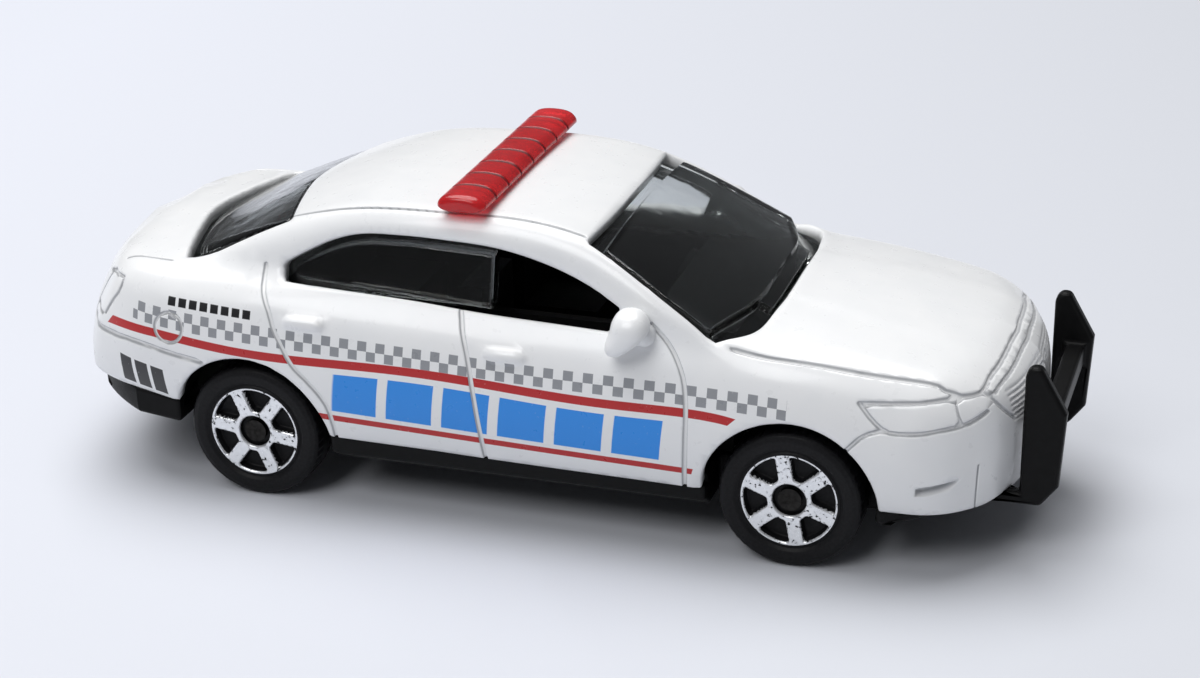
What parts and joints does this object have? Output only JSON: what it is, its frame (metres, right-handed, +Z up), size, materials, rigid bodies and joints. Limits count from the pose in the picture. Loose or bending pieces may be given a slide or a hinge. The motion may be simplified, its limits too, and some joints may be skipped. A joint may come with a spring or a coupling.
{
  "type": "die-cast toy police car",
  "caption": "Small die-cast toy police sedan with light bar, push bar and free-rolling wheels on steel axles.",
  "frame": {"origin": "on the floor, under the middle of the toy's box", "axes": "+X to the toy's front, +Y to its left, +Z up"},
  "size_m": [0.0766, 0.0302, 0.0246],
  "materials": {
    "paint": "gloss white enamel on zinc casting",
    "clear": "polished clear plastic",
    "red_lens": "polished translucent red",
    "trim": "moulded black",
    "black": "moulded satin black",
    "steel": "drawn wire",
    "wheel": "black with silver foil spokes"
  },
  "bodies": {
    "chassis": {"body_shell": "paint", "windows": "clear", "light_bar": "red_lens", "interior": "trim", "base": "black", "axle_front": "steel", "axle_rear": "steel"},
    "wheel_fl": {"wheel_front_left": "wheel"},
    "wheel_fr": {"wheel_front_right": "wheel"},
    "wheel_rl": {"wheel_rear_left": "wheel"},
    "wheel_rr": {"wheel_rear_right": "wheel"}
  },
  "joints": [
    {"name": "spin_front_left", "type": "hinge", "parent": "chassis", "child": "wheel_fl", "pos_m": [0.0201, 0.0115, 0.0052], "axis": [0, 1, 0], "continuous": true},
    {"name": "spin_front_right", "type": "hinge", "parent": "chassis", "child": "wheel_fr", "pos_m": [0.0201, -0.0115, 0.0052], "axis": [0, 1, 0], "continuous": true},
    {"name": "spin_rear_left", "type": "hinge", "parent": "chassis", "child": "wheel_rl", "pos_m": [-0.0209, 0.0115, 0.0052], "axis": [0, 1, 0], "continuous": true},
    {"name": "spin_rear_right", "type": "hinge", "parent": "chassis", "child": "wheel_rr", "pos_m": [-0.0209, -0.0115, 0.0052], "axis": [0, 1, 0], "continuous": true}
  ]
}
